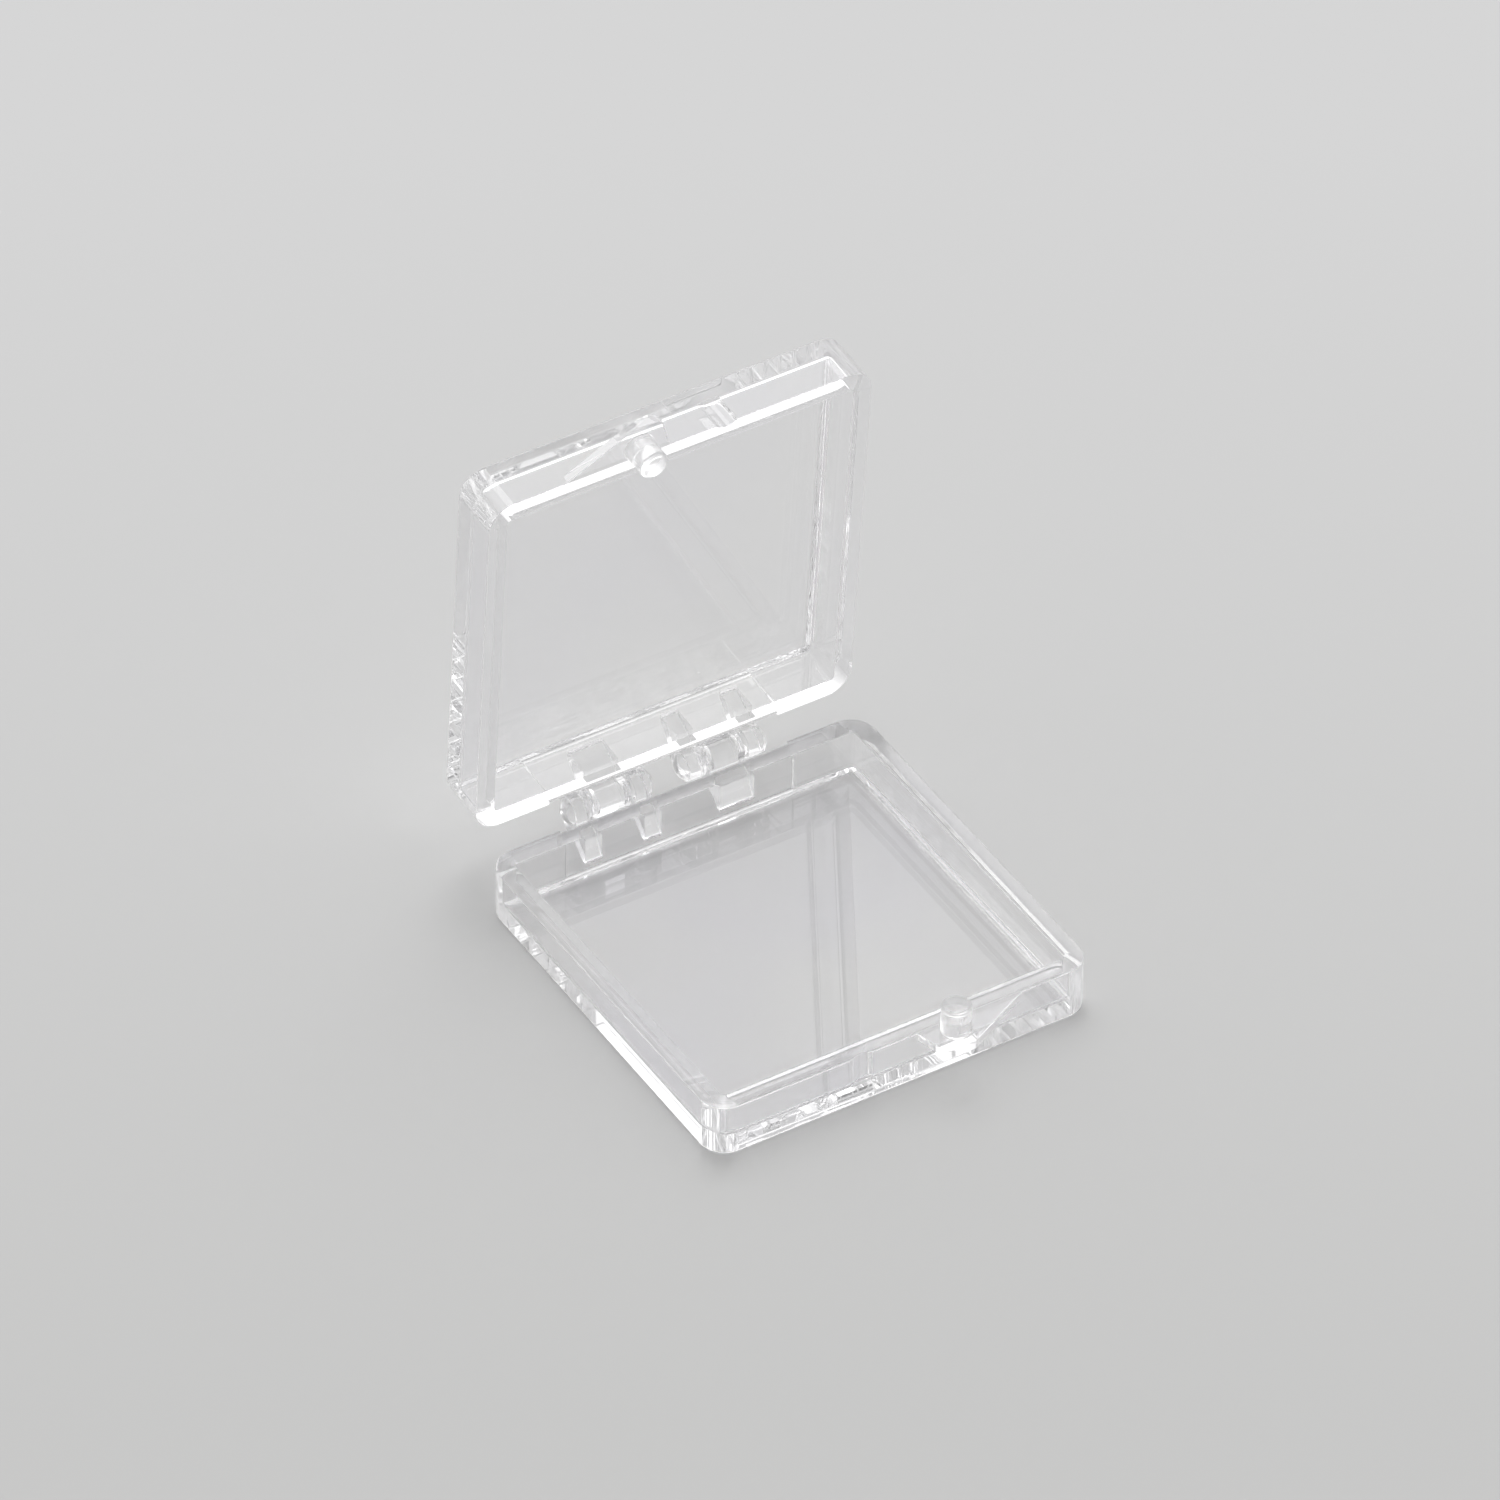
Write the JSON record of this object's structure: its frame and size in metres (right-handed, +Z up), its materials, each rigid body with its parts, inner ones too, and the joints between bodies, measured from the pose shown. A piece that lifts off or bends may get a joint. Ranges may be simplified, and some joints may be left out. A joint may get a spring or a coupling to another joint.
{
  "type": "coin capsule",
  "caption": "Clear square hinged box for keeping a coin: a shallow tray and a matching lid on a knuckle hinge, each with a finger tab and a round latch post.",
  "frame": {"origin": "centre of the base tray's underside, on the surface it stands on", "axes": "+Z up, +X along the front edge, +Y towards the hinge; the lid stands open 85.3 degrees"},
  "size_m": [0.04, 0.0511, 0.0512],
  "materials": {
    "clear_base": "clear polished polystyrene",
    "clear_lid": "clear polished polystyrene"
  },
  "bodies": {
    "base": {"base_shell": "clear_base"},
    "lid": {"lid_shell": "clear_lid"}
  },
  "joints": [
    {"name": "lid_hinge", "type": "hinge", "parent": "base", "child": "lid", "pos_m": [0, 0.02203, 0.00557], "axis": [-1, 0, 0], "range_deg": [-85.3, 94.7]}
  ]
}
